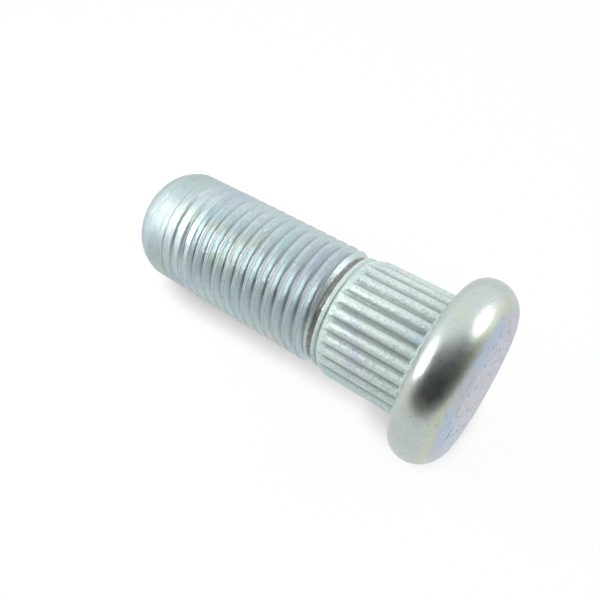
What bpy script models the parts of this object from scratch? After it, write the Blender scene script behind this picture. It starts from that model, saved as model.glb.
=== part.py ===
"""Wheel stud, forged in one piece: a round head, a splined press-fit shank and a fine right-hand thread.

The stud stands on its head. The origin is the centre of the head's outer face, and +Z runs along the
shank to the point. Angles are counted from +X, counterclockwise seen from the point.
"""

import math

import bmesh
import bpy

MM = 0.001

# Head: a flat outer face, a full-round rim and a flat seat ring round the shank
HEAD_DIAMETER = 18.0 * MM
HEAD_HEIGHT = 4.8 * MM
FACE_ROUND_WIDTH = 3.1 * MM
FACE_ROUND_HEIGHT = 2.85 * MM
SEAT_ROUND_WIDTH = 1.5 * MM
SEAT_FILLET = 0.35 * MM

# Splines of the press fit, with a lead-in cone at the end away from the head
SPLINE_COUNT = 28
SPLINE_DIAMETER = 12.3 * MM
SPLINE_DEPTH = 0.42 * MM
SPLINE_FULLNESS = 0.7  # below 1, the ridges are fuller and the grooves between them narrower
SPLINE_ANGLE = math.radians(8.2)
SPLINE_LENGTH = 9.1 * MM
LEAD_IN_LENGTH = 1.15 * MM
LEAD_IN_DROP = 0.6 * MM
SPLINE_RUN_OUT = 0.5 * MM

# Narrow collar between the splines and the thread, and the relief groove behind it
COLLAR_WIDTH = 0.5 * MM
COLLAR_FLANK = 0.14 * MM
RELIEF_WIDTH = 0.55 * MM
RELIEF_CLEARANCE = 0.08 * MM

# Thread: right-hand, with flats on its crests and roots, and shallow over its last turns before the point.
# The crests are wide, as on a rolled thread whose blank doesn't quite fill the dies
THREAD_DIAMETER = 12.0 * MM
THREAD_PITCH = 1.25 * MM
CREST_FLAT = 0.34 * MM
ROOT_FLAT = 0.26 * MM
FLANK_ANGLE = math.radians(30.0)
THREAD_ANGLE = math.radians(292.6)
SHALLOW_LENGTH = 5.5 * MM
SHALLOW_SHARE = 0.3
POINT_BLANK_DIAMETER = 11.7 * MM

# Rounded point with a small flat end. Its curve starts just clear of the thread's crests
SHANK_LENGTH = 33.2 * MM
POINT_LENGTH = 4.0 * MM
POINT_FLAT_DIAMETER = 6.2 * MM
CREST_CLEARANCE = 0.1 * MM

# Fineness of the round surfaces
HEAD_STEPS = 56
THREAD_STEPS = 36
ROUND_STEPS = 6
SPLINE_STEPS = 5
LEAD_IN_STEPS = 3
SHARP_ANGLE = math.radians(35.0)
JOIN_OVERLAP = 0.3 * MM
WELD = 0.001 * MM

# The thread's depth and the heights along the stud, which follow from the sizes above
FLANK_HEIGHT = (THREAD_PITCH - CREST_FLAT - ROOT_FLAT) / 2
THREAD_DEPTH = FLANK_HEIGHT / math.tan(FLANK_ANGLE)
SEAT = HEAD_HEIGHT
SPLINE_END = SEAT + SPLINE_LENGTH
COLLAR_END = SPLINE_END + COLLAR_WIDTH
THREAD_START = COLLAR_END + RELIEF_WIDTH
TIP = SEAT + SHANK_LENGTH
POINT_START = TIP - POINT_LENGTH
SHALLOW_START = POINT_START + POINT_LENGTH / 4 - SHALLOW_LENGTH


def clear_scene():
    for item in list(bpy.data.objects):
        bpy.data.objects.remove(item, do_unlink=True)


def quarter_round(radius, height, width, rise, steps):
    """Points of a quarter ellipse, from its outermost point inwards by width and up by rise."""
    turns = [math.pi / 2 * step / steps for step in range(steps + 1)]
    return [(radius - width + width * math.cos(t), height + rise * math.sin(t)) for t in turns]


def new_object(name, bm):
    bmesh.ops.recalc_face_normals(bm, faces=bm.faces)
    mesh = bpy.data.meshes.new(name)
    bm.to_mesh(mesh)
    bm.free()
    made = bpy.data.objects.new(name, mesh)
    bpy.context.scene.collection.objects.link(made)
    return made


def turned(name, outline, steps):
    """A solid of revolution about Z. The outline runs from the axis to the axis."""
    bm = bmesh.new()
    verts = [bm.verts.new((radius, 0.0, height)) for radius, height in outline]
    edges = [bm.edges.new(pair) for pair in zip(verts, verts[1:])]
    bmesh.ops.spin(
        bm, geom=verts + edges, cent=(0, 0, 0), axis=(0, 0, 1), angle=math.tau, steps=steps, use_merge=True
    )
    bmesh.ops.remove_doubles(bm, verts=bm.verts, dist=WELD)
    return new_object(name, bm)


def head_and_collar():
    """The head, a core that the splines are joined to, and the collar that closes it."""
    rim = HEAD_DIAMETER / 2
    face_round = quarter_round(rim, 0.0, FACE_ROUND_WIDTH, FACE_ROUND_HEIGHT, ROUND_STEPS)
    face_side = [(radius, FACE_ROUND_HEIGHT - rise) for radius, rise in reversed(face_round)]
    seat_rise = SEAT - FACE_ROUND_HEIGHT
    seat_side = quarter_round(rim, FACE_ROUND_HEIGHT, SEAT_ROUND_WIDTH, seat_rise, ROUND_STEPS)
    spline_radius = SPLINE_DIAMETER / 2
    fillet_turns = [math.pi / 2 * step / LEAD_IN_STEPS for step in range(LEAD_IN_STEPS + 1)]
    fillet = [
        (
            spline_radius + SEAT_FILLET - SEAT_FILLET * math.sin(t),
            SEAT + SEAT_FILLET - SEAT_FILLET * math.cos(t),
        )
        for t in fillet_turns
    ]
    core = spline_radius - SPLINE_DEPTH - JOIN_OVERLAP
    collar = THREAD_DIAMETER / 2
    valley = spline_radius - LEAD_IN_DROP
    outline = [(0.0, 0.0)] + face_side + seat_side[1:] + fillet
    outline += [
        (core, SEAT + SEAT_FILLET + SPLINE_RUN_OUT),
        (core, SPLINE_END - LEAD_IN_LENGTH),
        (valley - COLLAR_FLANK, SPLINE_END - COLLAR_FLANK),
        (valley, SPLINE_END),
        (collar - COLLAR_FLANK, SPLINE_END + COLLAR_FLANK),
        (collar, SPLINE_END + 1.5 * COLLAR_FLANK),
        (collar, COLLAR_END - COLLAR_FLANK),
        (collar - COLLAR_FLANK, COLLAR_END),
        (0.0, COLLAR_END),
    ]
    return turned("wheel_stud", outline, HEAD_STEPS)


def spline_height(share):
    """Rounded ridge: 0 at the groove's middle and 1 on the crest, over one spline's share of the turn."""
    return (0.5 - 0.5 * math.cos(math.tau * share)) ** SPLINE_FULLNESS


def splines():
    """A splined ring section, lofted through rings whose ridges the lead-in cone cuts down."""
    crest = SPLINE_DIAMETER / 2
    points = SPLINE_COUNT * SPLINE_STEPS
    cone_start = SPLINE_END - LEAD_IN_LENGTH
    cone_heights = [cone_start + LEAD_IN_LENGTH * step / LEAD_IN_STEPS for step in range(LEAD_IN_STEPS + 1)]
    bm = bmesh.new()
    rings = []
    for height in [SEAT - JOIN_OVERLAP] + cone_heights:
        cone = crest - LEAD_IN_DROP * max(0.0, height - cone_start) / LEAD_IN_LENGTH
        ring = []
        for point in range(points):
            rise = spline_height(point / SPLINE_STEPS + 0.5)
            radius = min(crest - SPLINE_DEPTH * (1.0 - rise), cone)
            turn = SPLINE_ANGLE + math.tau * point / points
            ring.append(bm.verts.new((radius * math.cos(turn), radius * math.sin(turn), height)))
        rings.append(ring)
    for lower, upper in zip(rings, rings[1:]):
        for point in range(points):
            after = (point + 1) % points
            bm.faces.new((lower[point], lower[after], upper[after], upper[point]))
    bm.faces.new(rings[0])
    bm.faces.new(rings[-1])
    return new_object("splines", bm)


def shallow_share(height):
    """How much of its full form the thread keeps at a height: it fades towards the point."""
    fade = (height - SHALLOW_START) / SHALLOW_LENGTH
    return 1.0 - (1.0 - SHALLOW_SHARE) * min(1.0, max(0.0, fade))


def close_end(bm, loop):
    """Closes an open end with a fan of faces round a point on the axis."""
    ends = {vert for edge in loop for vert in edge.verts}
    middle = bm.verts.new((0.0, 0.0, sum(vert.co.z for vert in ends) / len(ends)))
    for edge in loop:
        bm.faces.new((edge.verts[0], edge.verts[1], middle))


def threaded_rod():
    """The thread's profile over one pitch, swept along the helix. It runs past both ends of the shank."""
    crest = THREAD_DIAMETER / 2
    root = crest - THREAD_DEPTH
    low = COLLAR_END - 2 * THREAD_PITCH
    turns = math.ceil((TIP - low) / THREAD_PITCH) + 1
    crest_start = low + ROOT_FLAT + FLANK_HEIGHT
    profile = [
        (root, low),
        (root, low + ROOT_FLAT),
        (crest, crest_start),
        (crest, crest_start + CREST_FLAT),
        (root, low + THREAD_PITCH),
    ]
    bm = bmesh.new()
    verts = [
        bm.verts.new((radius * math.cos(THREAD_ANGLE), radius * math.sin(THREAD_ANGLE), height))
        for radius, height in profile
    ]
    edges = [bm.edges.new(pair) for pair in zip(verts, verts[1:])]
    bmesh.ops.spin(
        bm,
        geom=verts + edges,
        cent=(0, 0, 0),
        axis=(0, 0, 1),
        dvec=(0, 0, THREAD_PITCH / THREAD_STEPS),
        angle=math.tau * turns,
        steps=THREAD_STEPS * turns,
    )
    bmesh.ops.remove_doubles(bm, verts=bm.verts, dist=WELD)
    open_edges = [edge for edge in bm.edges if edge.is_boundary]
    half_way = (low + TIP) / 2
    close_end(bm, [edge for edge in open_edges if edge.verts[0].co.z < half_way])
    close_end(bm, [edge for edge in open_edges if edge.verts[0].co.z >= half_way])
    for vert in bm.verts:
        radius = math.hypot(vert.co.x, vert.co.y)
        if radius > WELD:
            blank = POINT_BLANK_DIAMETER / 2
            wanted = blank + (radius - blank) * shallow_share(vert.co.z)
            vert.co.x *= wanted / radius
            vert.co.y *= wanted / radius
    return new_object("threaded_rod", bm)


def shank_form():
    """What is left of the threaded rod: relief groove, the thread's first chamfer and rounded point."""
    groove = THREAD_DIAMETER / 2 - THREAD_DEPTH - RELIEF_CLEARANCE
    clear = THREAD_DIAMETER / 2 + CREST_CLEARANCE
    point = quarter_round(clear, POINT_START, clear - POINT_FLAT_DIAMETER / 2, POINT_LENGTH, ROUND_STEPS)
    outline = [
        (0.0, COLLAR_END - JOIN_OVERLAP),
        (groove, COLLAR_END - JOIN_OVERLAP),
        (groove, THREAD_START),
        (clear, THREAD_START + clear - groove),
    ]
    return turned("shank_form", outline + point + [(0.0, TIP)], HEAD_STEPS)


def combine(base, tool, operation):
    """Applies a Boolean of the tool to the base, and removes the tool."""
    modifier = base.modifiers.new(operation.lower(), "BOOLEAN")
    modifier.operation = operation
    modifier.solver = "EXACT"
    modifier.object = tool
    bpy.context.view_layer.objects.active = base
    bpy.ops.object.modifier_apply(modifier=modifier.name)
    bpy.data.objects.remove(tool, do_unlink=True)


def zinc_plate():
    material = bpy.data.materials.new("zinc_plate")
    material.use_nodes = True
    surface = material.node_tree.nodes["Principled BSDF"]
    surface.inputs["Base Color"].default_value = (0.62, 0.68, 0.68, 1.0)
    surface.inputs["Metallic"].default_value = 1.0
    surface.inputs["Roughness"].default_value = 0.35
    return material


def wheel_stud():
    stud = head_and_collar()
    thread = threaded_rod()
    combine(thread, shank_form(), "INTERSECT")
    combine(stud, splines(), "UNION")
    combine(stud, thread, "UNION")
    stud.data.materials.clear()
    stud.data.materials.append(zinc_plate())
    stud.data.shade_smooth()
    stud.data.set_sharp_from_angle(angle=SHARP_ANGLE)
    return stud


clear_scene()
wheel_stud()
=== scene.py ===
import math

import bpy
from mathutils import Euler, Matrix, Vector


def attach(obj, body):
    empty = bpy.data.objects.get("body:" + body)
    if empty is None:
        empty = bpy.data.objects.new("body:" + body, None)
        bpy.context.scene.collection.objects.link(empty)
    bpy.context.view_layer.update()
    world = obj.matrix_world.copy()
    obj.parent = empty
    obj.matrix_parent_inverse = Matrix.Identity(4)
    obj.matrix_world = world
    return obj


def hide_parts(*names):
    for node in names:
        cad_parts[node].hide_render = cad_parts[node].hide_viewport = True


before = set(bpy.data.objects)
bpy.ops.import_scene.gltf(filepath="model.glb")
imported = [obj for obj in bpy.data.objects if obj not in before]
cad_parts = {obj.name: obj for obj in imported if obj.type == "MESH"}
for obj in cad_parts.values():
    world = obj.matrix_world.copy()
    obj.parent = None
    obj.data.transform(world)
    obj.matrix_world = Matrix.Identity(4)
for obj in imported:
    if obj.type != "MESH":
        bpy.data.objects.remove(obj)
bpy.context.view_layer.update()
mm = 0.001

# shared by all the shapes, in mm
joining = {
    "hub": 0.6,  # radius of the first and last ring of a turned shape
    "overlap": 0.3,  # how far one part reaches into the next
    "splineOverlap": 0.2,  # the same beyond both ends of the splines
    "clearance": 0.1,  # how far a form stands off what it leaves whole
    "mergeDistance": 0.001,
    "smoothAngle": 38,  # degrees
}


def onlyThis(item):
    bpy.ops.object.select_all(action="DESELECT")
    item.select_set(True)
    bpy.context.view_layer.objects.active = item


def editing(on):
    bpy.ops.object.mode_set(mode="EDIT" if on else "OBJECT")


def mergeAll():
    bpy.ops.mesh.select_all(action="SELECT")
    bpy.ops.mesh.remove_doubles(threshold=joining["mergeDistance"] * mm)


def finishMesh(name):
    # merges what touches, turns the faces outwards and puts the place into the mesh
    mergeAll()
    bpy.ops.mesh.normals_make_consistent(inside=False)
    editing(False)
    made = bpy.context.object
    made.name = name
    bpy.ops.object.transform_apply(location=True, rotation=True, scale=True)
    return made


def arc(centre, width, rise, first, last, steps):
    # points round part of an ellipse, in (radius, height); degrees from the outermost point
    turns = [math.radians(first + (last - first) * step / steps) for step in range(steps + 1)]
    return [(centre[0] + width * math.cos(t), centre[1] + rise * math.sin(t)) for t in turns]


def turned(name, outline, sides):
    # a disc, drawn out along its outline ring by ring
    bpy.ops.object.select_all(action="DESELECT")
    radius, height = outline[0]
    bpy.ops.mesh.primitive_circle_add(
        vertices=sides, radius=radius * mm, fill_type="TRIFAN", location=(0, 0, height * mm)
    )
    editing(True)
    for nextRadius, nextHeight in outline[1:]:
        step = (0, 0, (nextHeight - height) * mm)
        bpy.ops.mesh.extrude_region_move(TRANSFORM_OT_translate={"value": step})
        grow = nextRadius / radius
        bpy.ops.transform.resize(value=(grow, grow, 1), center_override=(0, 0, 0))
        radius, height = nextRadius, nextHeight
    return finishMesh(name)


def drawLine(places):
    # one point, pulled out from place to place into a line
    bpy.ops.object.select_all(action="DESELECT")
    first = Vector(places[0]) * mm
    bpy.ops.mesh.primitive_plane_add(size=mm, location=first)
    editing(True)
    bpy.ops.mesh.merge(type="CENTER")
    for before, after in zip(places, places[1:]):
        step = (Vector(after) - Vector(before)) * mm
        bpy.ops.mesh.extrude_region_move(TRANSFORM_OT_translate={"value": step})


def pick(test):
    # selects the points of the mesh in edit mode whose number and height pass the test
    editing(False)
    shape = bpy.context.object
    for part in (shape.data.polygons, shape.data.edges, shape.data.vertices):
        for item in part:
            item.select = False
    for vert in shape.data.vertices:
        vert.select = test(vert.index, (shape.matrix_world @ vert.co).z)
    editing(True)


def combine(base, tool, operation):
    onlyThis(base)
    cut = base.modifiers.new(operation.lower(), "BOOLEAN")
    cut.operation = operation
    cut.solver = "EXACT"
    cut.object = tool
    bpy.ops.object.modifier_apply(modifier=cut.name)
    bpy.data.objects.remove(tool)


head = {
    "diameter": 18.0,
    "height": 4.8,
    "innerRing": 3.0,  # radius of a ring in the flat face
    "faceRound": (3.1, 2.85),  # width and height of the round on the outer side
    "seatRound": (1.5, 1.95),  # the same on the shank's side
    "fillet": 0.35,
    "filletSteps": 6,
    "core": 0.5,  # how far above the fillet the core inside the splines starts
    "sides": 168,
    "roundSteps": 20,
}
splineRing = {
    "count": 28,
    "diameter": 12.3,
    "depth": 0.42,
    "fullness": 0.7,  # 1 is a plain wave, less has wider crests
    "crestAngle": 8.2,  # degrees, where one of the crests stands
    "end": 13.9,
    "leadIn": (1.15, 0.5),  # length of the lead-in cone, and how far it drops
    # the way into the cone: lengths of it below the end, and mm inside the crests
    "leadInBend": ((1.25, -0.1), (1.05, -0.015), (0.62, 0.15)),
    "steps": 14,  # points across one spline
}
collar = {
    "diameter": 11.6,
    "end": 14.4,
    "flank": 0.1,
    "notch": 1.5,  # flanks from the splines' end up to the collar's first round
    "lowRound": (-60, 0, 3),  # from and to which angle, and the steps between
    "highRound": (0, 80, 4),
}


def headAndCollar():
    rim = head["diameter"] / 2
    seat = head["height"]
    crest = splineRing["diameter"] / 2
    core = crest - splineRing["depth"] - joining["overlap"]
    leadLength, leadDrop = splineRing["leadIn"]
    end = splineRing["end"]
    flank = collar["flank"]
    outer = collar["diameter"] / 2
    faceWidth, faceRise = head["faceRound"]
    seatWidth, seatRise = head["seatRound"]
    fillet = head["fillet"]
    roundSteps = head["roundSteps"]
    outline = [(joining["hub"], 0.0), (head["innerRing"], 0.0)]
    outline += arc((rim - faceWidth, faceRise), faceWidth, faceRise, -90, 0, roundSteps)
    outline += arc((rim - seatWidth, faceRise), seatWidth, seatRise, 0, 90, roundSteps)[1:]
    filletMiddle = (crest + fillet, seat + fillet)
    outline += arc(filletMiddle, fillet, fillet, 270, 180, head["filletSteps"])
    outline += [
        (core, seat + fillet + head["core"]),
        (core, end - leadLength),
        (crest - leadDrop - flank, end - flank),
        (crest - leadDrop, end),
    ]
    lowMiddle = (outer - flank, end + collar["notch"] * flank)
    outline += arc(lowMiddle, flank, flank, *collar["lowRound"])
    outline += arc((outer - flank, collar["end"] - flank), flank, flank, *collar["highRound"])
    outline += [(outer - 2 * flank, collar["end"]), (joining["hub"], collar["end"])]
    return turned("platedStud", outline, head["sides"])


def splineTube():
    # one spline drawn across, pulled up, then spun round into the full ring
    count, steps = splineRing["count"], splineRing["steps"]
    crest, depth = splineRing["diameter"] / 2, splineRing["depth"]
    low = head["height"] - joining["overlap"]
    places = []
    for step in range(steps + 1):
        share = step / steps
        rise = (0.5 - 0.5 * math.cos(math.tau * share)) ** splineRing["fullness"]
        radius = crest - depth * (1 - rise)
        turn = math.radians(splineRing["crestAngle"] + 360 * (share - 0.5) / count)
        places.append((radius * math.cos(turn), radius * math.sin(turn), low))
    drawLine(places)
    bpy.ops.mesh.select_all(action="SELECT")
    rise = (0, 0, (splineRing["end"] + joining["splineOverlap"] - low) * mm)
    bpy.ops.mesh.extrude_region_move(TRANSFORM_OT_translate={"value": rise})
    bpy.ops.mesh.select_all(action="SELECT")
    bpy.ops.mesh.spin(
        steps=count - 1,
        dupli=True,
        angle=math.tau * (count - 1) / count,
        center=(0, 0, 0),
        axis=(0, 0, 1),
    )
    mergeAll()
    middle = (low + splineRing["end"]) / 2 * mm
    for above in (False, True):
        pick(lambda number, height: (height > middle) == above)
        bpy.ops.mesh.edge_face_add()
    return finishMesh("splines")


def splineForm():
    # what the lead-in cone leaves of the splines
    crest = splineRing["diameter"] / 2
    length, drop = splineRing["leadIn"]
    end = splineRing["end"]
    low = head["height"] - joining["splineOverlap"]
    outline = [(joining["hub"], low), (crest + joining["clearance"], low)]
    outline += [(crest - inside, end - length * back) for back, inside in splineRing["leadInBend"]]
    outline += [(crest - drop, end), (joining["hub"], end)]
    return turned("splineForm", outline, head["sides"])


thread = {
    "diameter": 12.0,
    "pitch": 1.25,
    "crestWidth": 0.34,  # wide, because the rolled crest isn't filled up
    "rootWidth": 0.26,
    "flankAngle": 30,  # degrees from straight out
    "flankPoints": (0.08, 0.5, 0.92),  # shares of the way up a flank
    "crestRound": 0.07,
    "rootRound": 0.12,
    "roundSteps": 4,
    "seam": (0.16, 0.055),  # width and depth of the fold along the crest
    "angle": 292.6,  # degrees, where the profile starts at its lowest height
    "start": 14.95,
    "relief": 0.08,  # how far the relief groove lies below the root
    "fadeStart": 29.4,
    "fadeLength": 4.2,
    "fadeRise": 0.52,  # how far the root has risen at the fade's end
    "blank": 11.9,  # diameter there, where the thread isn't filled up
    "steps": 96,
    "spareTurns": 2,  # below the collar's end
}
point = {
    "start": 34.0,
    "tip": 38.0,
    "flat": 6.2,
    "roundSteps": 24,
}


def threadRoot():
    flank = (thread["pitch"] - thread["crestWidth"] - thread["rootWidth"]) / 2
    return thread["diameter"] / 2 - flank / math.tan(math.radians(thread["flankAngle"]))


def threadProfile():
    # one pitch of the thread in (radius, height), from the middle of a root to the next one
    crest, pitch, root = thread["diameter"] / 2, thread["pitch"], threadRoot()
    crestRound, rootRound, steps = thread["crestRound"], thread["rootRound"], thread["roundSteps"]
    bend = 90 - thread["flankAngle"]
    reach = math.tan(math.radians(bend / 2))
    rootMiddle = (root + rootRound, thread["rootWidth"] / 2 - rootRound * reach)
    crestMiddle = (crest - crestRound, (pitch - thread["crestWidth"]) / 2 + crestRound * reach)
    rootArc = arc(rootMiddle, rootRound, rootRound, 180, 180 - bend, steps)
    crestArc = arc(crestMiddle, crestRound, crestRound, -bend, 0, steps)
    flankStart, flankEnd = Vector(rootArc[-1]), Vector(crestArc[0])
    flank = [tuple(flankStart.lerp(flankEnd, share)) for share in thread["flankPoints"]]
    seamWidth, seamDepth = thread["seam"]
    rising = [(root, 0.0)] + rootArc + flank + crestArc + [(crest, (pitch - seamWidth) / 2)]
    falling = [(radius, pitch - height) for radius, height in reversed(rising)]
    return rising + [(crest - seamDepth, pitch / 2)] + falling


def openPoints(mesh):
    # the numbers of the points on edges that only one face has
    uses = {}
    for face in mesh.polygons:
        for key in face.edge_keys:
            uses[key] = uses.get(key, 0) + 1
    return {vert for key, count in uses.items() if count == 1 for vert in key}


def threadRod():
    # the thread's profile, screwed up the shank past both of its ends
    pitch = thread["pitch"]
    low = collar["end"] - thread["spareTurns"] * pitch
    bottom = low + thread["rootWidth"] / 2
    turn = math.radians(thread["angle"])
    places = [
        (radius * math.cos(turn), radius * math.sin(turn), bottom + height)
        for radius, height in threadProfile()
    ]
    drawLine(places)
    editing(False)
    bpy.ops.object.transform_apply(location=True, rotation=True, scale=True)
    rod = bpy.context.object
    screw = rod.modifiers.new("helix", "SCREW")
    screw.axis = "Z"
    screw.angle = math.tau
    screw.screw_offset = pitch * mm
    screw.iterations = math.ceil((point["tip"] - low) / pitch) + 1
    screw.steps = thread["steps"]
    screw.render_steps = thread["steps"]
    bpy.ops.object.modifier_apply(modifier=screw.name)
    editing(True)
    mergeAll()
    editing(False)
    ends = openPoints(rod.data)
    middle = (low + point["tip"]) / 2 * mm
    for above in (False, True):
        pick(lambda number, height: number in ends and (height > middle) == above)
        bpy.ops.mesh.select_mode(type="VERT")
        bpy.ops.mesh.extrude_region_move()
        bpy.ops.mesh.merge(type="CENTER")
    return finishMesh("threadRod")


def fadeGrooves(rod):
    # the grooves of the rolled thread get narrower and shallower towards the point
    full, blank = thread["diameter"] / 2 * mm, thread["blank"] / 2 * mm
    for vert in rod.data.vertices:
        fade = (vert.co.z / mm - thread["fadeStart"]) / thread["fadeLength"]
        fade = min(1, max(0, fade))
        radius = math.hypot(vert.co.x, vert.co.y)
        if radius > blank / 2:  # all but the middles of the two ends
            most = full + (blank - full) * fade
            grow = min(radius + thread["fadeRise"] * mm * fade, most) / radius
            vert.co.x *= grow
            vert.co.y *= grow


def shankForm():
    # what is left of the rod: the relief groove, the first chamfer and the rounded point
    groove = threadRoot() - thread["relief"]
    clear = thread["diameter"] / 2 + joining["clearance"]
    low = collar["end"] - joining["overlap"]
    start, tip, flat = point["start"], point["tip"], point["flat"] / 2
    outline = [
        (joining["hub"], low),
        (groove, low),
        (groove, thread["start"]),
        (clear, thread["start"] + clear - groove),
        (clear, (thread["start"] + start) / 2),
    ]
    outline += arc((flat, start), clear - flat, tip - start, 0, 90, point["roundSteps"])
    outline += [(joining["hub"], tip)]
    return turned("shankForm", outline, head["sides"])


print("modelling the stud")
stud = headAndCollar()
splines = splineTube()
combine(splines, splineForm(), "INTERSECT")
rod = threadRod()
fadeGrooves(rod)
combine(rod, shankForm(), "INTERSECT")
combine(stud, splines, "UNION")
combine(stud, rod, "UNION")
onlyThis(stud)
bpy.ops.object.shade_smooth_by_angle(angle=math.radians(joining["smoothAngle"]))
print("stud has", len(stud.data.polygons), "faces")


class Wire:
    # a socket that sums, products and powers can be written with
    def __init__(self, tree, socket=None):
        self.tree = tree
        self.socket = socket

    def add(self, kind, settings, values):
        # any node: its settings first, then the numbers or wires of its inputs
        made = self.tree.nodes.new(kind)
        for name, value in settings.items():
            setattr(made, name, value)
        for name, value in values.items():
            socket = made.inputs[name]
            if isinstance(value, Wire):
                self.tree.links.new(value.socket, socket)
            else:
                socket.default_value = value
        return Wire(self.tree, made.outputs[0] if made.outputs else None)

    def other(self, name):
        # another output of the same node
        return Wire(self.tree, self.socket.node.outputs[name])

    def maths(self, operation, first, second=0.0):
        return self.add("ShaderNodeMath", {"operation": operation}, {0: first, 1: second})

    def __add__(self, second):
        return self.maths("ADD", self, second)

    def __radd__(self, first):
        return self.maths("ADD", first, self)

    def __sub__(self, second):
        return self.maths("SUBTRACT", self, second)

    def __rsub__(self, first):
        return self.maths("SUBTRACT", first, self)

    def __mul__(self, second):
        return self.maths("MULTIPLY", self, second)

    def __pow__(self, second):
        return self.maths("POWER", self, second)

    def rising(self, low, high):
        # 0 below low, 1 above high, and smooth between
        values = {"Value": self, "From Min": low, "From Max": high}
        return self.add("ShaderNodeMapRange", {"interpolation_type": "SMOOTHSTEP"}, values)

    def past(self, low, high):
        # the same for a measure in mm
        return self.rising(low * mm, high * mm)

    def vector(self, operation, second):
        return self.add("ShaderNodeVectorMath", {"operation": operation}, {0: self, 1: second})

    def noise(self, scale, detail, roughness):
        # scale is one number, or three to stretch the noise along each axis
        if isinstance(scale, tuple):
            return self.vector("MULTIPLY", scale).noise(1.0, detail, roughness)
        values = {"Vector": self, "Scale": scale, "Detail": detail, "Roughness": roughness}
        return self.add("ShaderNodeTexNoise", {}, values)

    def ramp(self, stops):
        # the colour that a row of stops has at this value
        made = self.add("ShaderNodeValToRGB", {}, {0: self})
        elements = made.socket.node.color_ramp.elements
        elements.remove(elements[1])
        elements[0].position = stops[0][0]
        for place, colour in stops[1:]:
            elements.new(place)
        for stop, (place, colour) in zip(elements, stops):
            stop.color = (*colour, 1)
        return made

    def tinted(self, mask, colour):
        # this colour, painted over with another where the mask is 1
        settings = {"data_type": "RGBA"}
        mixed = self.add("ShaderNodeMix", settings, {0: mask, 6: self, 7: colour})
        return mixed.other(2)

    def covered(self, share, shader):
        # this shader, covered by another where the share is 1
        return self.add("ShaderNodeMixShader", {}, {0: share, 1: self, 2: shader})


def newMaterial(name):
    material = bpy.data.materials.new(name)
    material.use_nodes = True
    tree = material.node_tree
    tree.nodes.clear()
    return material, Wire(tree)


zinc = {
    "rim": (0.60, 0.66, 0.635, 1),
    "splines": (0.70, 0.80, 0.775, 1),
    "thread": (0.63, 0.73, 0.745, 1),
    "point": (0.47, 0.565, 0.57, 1),
    "cyan": (0.48, 0.72, 0.74, 1),
    "violet": (0.54, 0.53, 0.70, 1),
    "blue": (0.50, 0.63, 0.80, 1),
    "straw": (0.70, 0.75, 0.49, 1),
    # grime, also the colour of the painted shade in the valleys, the roots and at the point's end
    "grimeAndShade": (0.27, 0.30, 0.30, 1),
    # rust, dark enough to serve as painted shade in the relief groove as well
    "rustAndShade": (0.18, 0.16, 0.13, 1),
    "pale": (0.76, 0.84, 0.83, 1),
    # how strong each tint is in its patches, and how much weaker on the head or the splines
    "cyanShare": 0.4,
    "violetShare": 0.35,
    "strawShare": 0.3,
    "lessOnHead": 0.25,
    "lessOnSplines": 0.2,
    # the tints round the head's face and at the splines' ends
    "ringViolet": 0.5,
    "ringBlue": 0.7,
    "ringStraw": 0.35,
    "petalPale": 0.15,
    # how much grime, rust and painted shade there is: the spline valleys, the thread's roots and
    # the point's end get painted shade, the relief groove rust and painted shade; a pair is its
    # least and what the noise adds
    "valleyShade": 0.6,
    "rootShade": 0.8,
    "crestGrime": (0.12, 0.12),
    "tipShade": 0.4,
    "mottleGrime": 0.16,
    "sandGrime": (0.1, 0.15),
    "reliefRustAndShade": (0.35, 0.4),
    "scuffs": 0.8,
    "specks": 0.4,
    "rimRoughness": 0.3,
    "splineRoughness": 0.62,
    "threadRoughness": 0.34,
    "crestRoughness": 0.62,
    "pointRoughness": 0.6,
    "petalRoughness": 0.14,  # added to the splines'
    "scuffRoughness": 0.5,  # added to the rim's
    "mottleRoughness": 0.16,
    "splineMetal": 0.8,  # the rest of the light is scattered by the satin plating
    "threadMetal": 0.8,
    # the height of the grain, in shares of grainDepth
    "grainDepth": 0.02,
    "splineSand": 2.8,
    "splineDrawn": 1.8,
    "petalRolled": 3.0,
    "threadSand": 2.0,
    "threadRolled": 0.8,
    "pointRolled": 4.2,
    "headMottle": 0.4,
    "headSand": 0.12,
}
# where a zone of the plating begins or ends, in mm up the stud, or out from its axis
zones = {
    "faceEnd": (0.05, 0.3),
    "ringEnd": (0.25, 0.95),
    "strawStart": (0.5, 0.95),
    "strawEnd": (1.1, 1.7),
    "headEnd": (4.7, 4.95),
    "valleyEnd": (12.6, 13.4),
    "petalStart": (12.7, 13.3),
    "reliefStart": (14.35, 14.5),
    "threadStart": (14.45, 14.6),
    "reliefEnd": (14.9, 15.2),
    "pointStart": (30.5, 34.0),
    "rootEnd": (31.0, 33.0),
    "tipStart": (35.2, 36.8),
    "rootOut": (5.4, 5.55),
    "valleyOut": (5.76, 6.02),
    "crestOut": (5.9, 5.95),
}
# each noise: its scale, its detail and its roughness
grains = {
    "patches": (260, 3.0, 0.55),
    "tints": (190, 2.0, 0.5),
    "sand": (4800, 1.0, 0.4),
    "mottle": (1700, 2.0, 0.5),
    "specks": (2400, 1.0, 0.5),
    "rolled": ((450, 450, 6500), 1.0, 0.4),
    "drawn": ((4500, 4500, 500), 1.0, 0.4),
    "scuffs": ((1100, 1500, 1100), 3.0, 0.65),
}
# between which values of its noise a patch fades in
patchEdges = {
    "cyan": (0.5, 0.72),
    "violet": (0.52, 0.7),
    "straw": (0.54, 0.72),
    "blue": (0.46, 0.56),
    "pale": (0.42, 0.58),
    "worn": (0.5, 0.62),
    "mottle": (0.55, 0.8),
    "sand": (0.5, 0.7),
    "rustAndShade": (0.4, 0.6),
    "scuffs": (0.57, 0.63),
    "specks": (0.69, 0.75),
}


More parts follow.
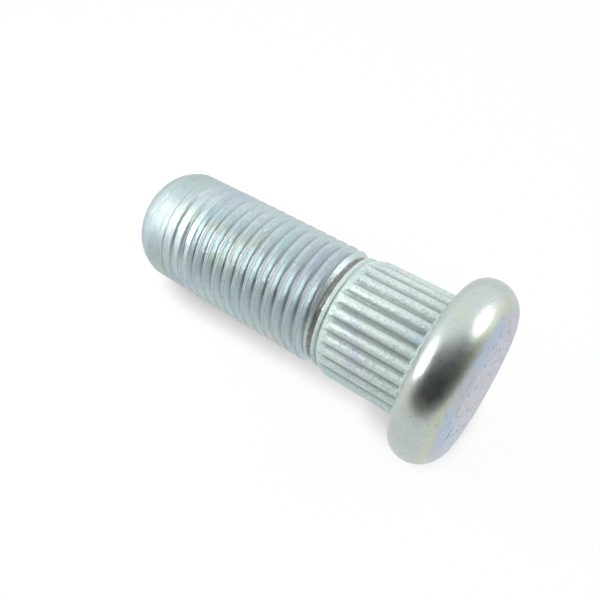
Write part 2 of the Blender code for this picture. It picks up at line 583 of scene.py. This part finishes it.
def zincPlate():
    material, start = newMaterial("zincPlate")
    place = start.add("ShaderNodeTexCoord", {}, {}).other("Object")
    split = start.add("ShaderNodeSeparateXYZ", {}, {0: place})
    x, y, z = split.other("X"), split.other("Y"), split.other("Z")
    radius = (x * x + y * y) ** 0.5

    onHead = 1 - z.past(*zones["headEnd"])
    onThread = z.past(*zones["threadStart"])
    relief = z.past(*zones["reliefStart"]) * (1 - z.past(*zones["reliefEnd"]))
    onSplines = (1 - onHead) * (1 - onThread)
    valley = onSplines * (1 - radius.past(*zones["valleyOut"])) * (1 - z.past(*zones["valleyEnd"]))
    petals = onSplines * z.past(*zones["petalStart"])
    root = onThread * (1 - radius.past(*zones["rootOut"])) * (1 - z.past(*zones["rootEnd"]))
    onPoint = z.past(*zones["pointStart"])
    crest = onThread * radius.past(*zones["crestOut"]) * (1 - onPoint)
    onFace = 1 - z.past(*zones["faceEnd"])
    faceRing = onHead * (1 - z.past(*zones["ringEnd"]))
    strawRing = onHead * z.past(*zones["strawStart"]) * (1 - z.past(*zones["strawEnd"]))

    tints = place.noise(*grains["tints"]).other("Color")
    tintSplit = start.add("ShaderNodeSeparateColor", {}, {0: tints})
    sand = place.noise(*grains["sand"])
    mottle = place.noise(*grains["mottle"])
    rolled = place.noise(*grains["rolled"])
    drawn = place.noise(*grains["drawn"])
    cyan = place.noise(*grains["patches"]).rising(*patchEdges["cyan"])
    violet = tintSplit.other("Red").rising(*patchEdges["violet"])
    straw = tintSplit.other("Green").rising(*patchEdges["straw"])
    blue = tintSplit.other("Blue").rising(*patchEdges["blue"])
    scuffs = place.noise(*grains["scuffs"]).rising(*patchEdges["scuffs"])
    specks = place.noise(*grains["specks"]).rising(*patchEdges["specks"])

    colour = start.add("ShaderNodeRGB", {}, {})
    colour.socket.default_value = zinc["rim"]
    colour = colour.tinted(onSplines, zinc["splines"])
    colour = colour.tinted(onThread, zinc["thread"])
    colour = colour.tinted(onPoint, zinc["point"])
    lessOnHead = onHead * zinc["lessOnHead"]
    colour = colour.tinted(cyan * (zinc["cyanShare"] - lessOnHead), zinc["cyan"])
    colour = colour.tinted(violet * (zinc["violetShare"] - lessOnHead), zinc["violet"])
    strawShare = zinc["strawShare"] - onSplines * zinc["lessOnSplines"]
    colour = colour.tinted(straw * strawShare, zinc["straw"])
    colour = colour.tinted(faceRing * zinc["ringViolet"], zinc["violet"])
    colour = colour.tinted(faceRing * blue * zinc["ringBlue"], zinc["blue"])
    colour = colour.tinted(strawRing * zinc["ringStraw"], zinc["straw"])
    paleSand = petals * sand.rising(*patchEdges["pale"])
    colour = colour.tinted(paleSand * zinc["petalPale"], zinc["pale"])

    least, added = zinc["crestGrime"]
    worn = crest * (least + sand.rising(*patchEdges["worn"]) * added)
    # painted shade: the spline valleys and the thread's roots are darkened in colour, where the
    # real ones lie in shade; the crests' grime is real wear
    grimeAndShade = valley * zinc["valleyShade"] + root * zinc["rootShade"] + worn
    # painted shade: the point's rounded end is darkened in colour
    grimeAndShade = grimeAndShade + z.past(*zones["tipStart"]) * zinc["tipShade"]
    colour = colour.tinted(grimeAndShade, zinc["grimeAndShade"])
    grimeAndShade = mottle.rising(*patchEdges["mottle"]) * zinc["mottleGrime"]
    colour = colour.tinted(grimeAndShade, zinc["grimeAndShade"])
    least, added = zinc["sandGrime"]
    grimeAndShade = sand.rising(*patchEdges["sand"]) * (least + onSplines * added)
    colour = colour.tinted(grimeAndShade, zinc["grimeAndShade"])
    # the relief groove: a slight brown rust tint, deepened into painted shade
    least, added = zinc["reliefRustAndShade"]
    rustAndShade = relief * (least + mottle.rising(*patchEdges["rustAndShade"]) * added)
    colour = colour.tinted(rustAndShade, zinc["rustAndShade"])
    flecks = onFace * scuffs * zinc["scuffs"]
    colour = colour.tinted(flecks + onHead * specks * zinc["specks"], zinc["grimeAndShade"])

    metal = onHead + onSplines * zinc["splineMetal"] + onThread * zinc["threadMetal"] - flecks
    roughness = onHead * zinc["rimRoughness"] + onSplines * zinc["splineRoughness"]
    roughness = roughness + flecks * zinc["scuffRoughness"] + onThread * zinc["threadRoughness"]
    roughness = roughness + (mottle - 0.5) * zinc["mottleRoughness"]
    roughness = roughness + crest * (zinc["crestRoughness"] - zinc["threadRoughness"])
    roughness = roughness + onPoint * (zinc["pointRoughness"] - zinc["threadRoughness"])
    roughness = roughness + petals * zinc["petalRoughness"]

    height = onSplines * (sand * zinc["splineSand"] + drawn * zinc["splineDrawn"])
    ridges = rolled * (zinc["threadRolled"] + onPoint * zinc["pointRolled"])
    height = height + onThread * (ridges + sand * zinc["threadSand"])
    height = height + petals * rolled * zinc["petalRolled"]
    height = height + onHead * (mottle * zinc["headMottle"] + sand * zinc["headSand"])
    depth = zinc["grainDepth"] * mm
    bump = start.add(
        "ShaderNodeBump", {}, {"Strength": 1.0, "Distance": depth, "Height": height}
    )
    shader = start.add(
        "ShaderNodeBsdfPrincipled",
        {},
        {"Base Color": colour, "Metallic": metal, "Roughness": roughness, "Normal": bump},
    )
    start.add("ShaderNodeOutputMaterial", {}, {"Surface": shader})
    return material


print("plating the stud")
stud.data.materials.clear()
stud.data.materials.append(zincPlate())
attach(stud, "root")
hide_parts("wheel_stud")

# The stud stands on its head in the model, so the whole studio is turned round it instead:
# the floor leans against the thread and the head's rim, as if the stud lay on its side
studio = {
    "turn": (98.7322, 53.0963, 35.6473),  # degrees, from the upright stud to the floor it lies on
    "floorMiddle": (-3.63, 6.56, 19.7),  # mm, under the middle of the stud
    "floorSize": 900,  # mm
    "floorColour": (0.93, 0.93, 0.93),
    "floorGlow": 0.92,  # how far the floor shines by itself, as overexposed paper does
    "floorMirrored": 0.84,  # how bright the metal shows it
    "shadowReach": 5.5,  # mm, how far the stud shades that glow
    "shadowLift": 1.58,  # above 1, only the deepest part of that shade is left
    "mirroredLift": 0.8,  # how much more of the shade is left out in the metal
    "shadowSamples": 24,
}
floorTurn = Euler([math.radians(angle) for angle in studio["turn"]]).to_matrix()
floorMiddle = Vector(studio["floorMiddle"]) * mm


def direction(azimuth, elevation):
    # degrees along the floor, 0 away from the camera and 90 to its right, then degrees above it
    turn, rise = math.radians(azimuth), math.radians(elevation)
    level = math.cos(rise)
    return floorTurn @ Vector((math.sin(turn) * level, math.cos(turn) * level, math.sin(rise)))


def paleFloor():
    # white with a tight soft shadow from the front, and clear from behind: it hides nothing
    material, start = newMaterial("paleFloor")
    rays = start.add("ShaderNodeLightPath", {}, {})
    seen = rays.maths("MAXIMUM", rays.other("Is Camera Ray"), rays.other("Is Transmission Ray"))
    mirrored = rays.other("Is Glossy Ray")
    share = seen * studio["floorGlow"] + mirrored
    samples = {"samples": studio["shadowSamples"]}
    reach = {"Distance": studio["shadowReach"] * mm}
    light = start.add("ShaderNodeAmbientOcclusion", samples, reach).other("AO")
    lift = mirrored * studio["mirroredLift"] + studio["shadowLift"]
    light = start.maths("MINIMUM", light * lift, 1.0)
    light = light * (1 - mirrored * (1 - studio["floorMirrored"]))
    matt = start.add("ShaderNodeBsdfDiffuse", {}, {"Color": (*studio["floorColour"], 1)})
    glow = start.add("ShaderNodeEmission", {}, {"Strength": light})
    clear = start.add("ShaderNodeBsdfTransparent", {}, {})
    behind = start.add("ShaderNodeNewGeometry", {}, {}).other("Backfacing")
    oneSided = matt.covered(share, glow).covered(behind, clear)
    start.add("ShaderNodeOutputMaterial", {}, {"Surface": oneSided})
    return material


print("laying the floor")
bpy.ops.object.select_all(action="DESELECT")
bpy.ops.mesh.primitive_plane_add(
    size=studio["floorSize"] * mm, location=floorMiddle, rotation=floorTurn.to_euler()
)
floor = bpy.context.object
floor.name = "floor"
floor.data.materials.append(paleFloor())

# what stands round the stud: white in front of it, and a dim room behind the camera
room = {
    "dimAzimuth": -168,
    "lowGlow": 0.22,  # light from low down, where the white table ends
    "lowEnd": (-0.08, 0.3),  # sines of the heights between which that glow ends
    "band": 0.42,  # how much darker the room is above that and below the ceiling
    "bandStart": (0.2, 0.45),
    "bandEnd": (0.87, 0.96),
    "lowSide": (-0.1, 0.3),  # how far towards the dim side the glow and the band begin
    "bandSide": (-0.1, 0.15),
    "stops": [
        (0.0, (1.02, 1.02, 1.02)),
        (0.375, (1.0, 1.0, 1.0)),
        (0.45, (0.78, 0.78, 0.78)),
        (0.52, (0.48, 0.48, 0.48)),
        (0.62, (0.3, 0.3, 0.3)),
        (0.8, (0.13, 0.13, 0.135)),
        (0.95, (0.045, 0.045, 0.05)),
    ],
}
lamps = {
    # distance and size in mm
    "leftLamp": {
        "azimuth": -82,
        "elevation": 37.7,
        "distance": 74,
        "size": (40, 38),
        "radiance": 6.7,
        "inReflections": True,
    },
    "rightLamp": {
        "azimuth": 81,
        "elevation": 37.3,
        "distance": 260,
        "size": (145, 140),
        "radiance": 1.85,
        "inReflections": True,
    },
    "frontLamp": {
        "azimuth": 180,
        "elevation": 50,
        "distance": 300,
        "size": (260, 260),
        "radiance": 1.5,
        "inReflections": False,
    },
}


def lightRoom():
    world = bpy.data.worlds.new("room")
    bpy.context.scene.world = world
    world.use_nodes = True
    world.node_tree.nodes.clear()
    start = Wire(world.node_tree)
    looking = start.add("ShaderNodeTexCoord", {}, {}).other("Generated")
    dim = looking.vector("DOT_PRODUCT", direction(room["dimAzimuth"], 0)).other("Value")
    rise = looking.vector("DOT_PRODUCT", direction(0, 90)).other("Value")
    low = (1 - rise.rising(*room["lowEnd"])) * room["lowGlow"] * dim.rising(*room["lowSide"])
    band = rise.rising(*room["bandStart"]) * (1 - rise.rising(*room["bandEnd"]))
    band = band * dim.rising(*room["bandSide"]) * room["band"]
    shade = (dim * 0.5 + 0.5).ramp(room["stops"]).vector("MULTIPLY", 1 - band)
    seen = start.add("ShaderNodeLightPath", {}, {}).other("Is Camera Ray")
    around = start.add("ShaderNodeBackground", {}, {"Color": shade.vector("ADD", low)})
    white = start.add("ShaderNodeBackground", {}, {"Color": (1, 1, 1, 1)})
    start.add("ShaderNodeOutputWorld", {}, {"Surface": around.covered(seen, white)})


def addLamp(name, azimuth, elevation, distance, size, radiance, inReflections):
    away = direction(azimuth, elevation)
    turn = away.to_track_quat("Z", "Y").to_euler()
    middle = floorMiddle + away * distance * mm
    bpy.ops.object.light_add(type="AREA", location=middle, rotation=turn)
    lamp = bpy.context.object
    lamp.name = name
    lamp.data.shape = "ELLIPSE"
    lamp.data.size = size[0] * mm
    lamp.data.size_y = size[1] * mm
    lamp.data.energy = radiance * math.pi * size[0] * size[1] * mm * mm
    lamp.visible_camera = False
    lamp.visible_glossy = inReflections


print("lighting")
lightRoom()
for name, settings in lamps.items():
    addLamp(name, **settings)

camera = {
    "place": (-1.0906, -57.1082, -5.7906),  # mm
    "lookDown": 56.844,  # degrees below level
    "lens": 37.597,
    "sensor": 36.0,
    "nearest": 1,  # mm, closer things aren't shown
}

print("placing the camera")
bpy.ops.object.select_all(action="DESELECT")
cameraTurn = floorTurn @ Euler((math.radians(90 - camera["lookDown"]), 0, 0)).to_matrix()
bpy.ops.object.camera_add(location=Vector(camera["place"]) * mm, rotation=cameraTurn.to_euler())
eye = bpy.context.object
eye.name = "camera"
eye.data.lens = camera["lens"]
eye.data.sensor_width = camera["sensor"]
eye.data.clip_start = camera["nearest"] * mm
bpy.context.scene.camera = eye
bpy.context.scene.view_settings.view_transform = "Standard"

print("done")
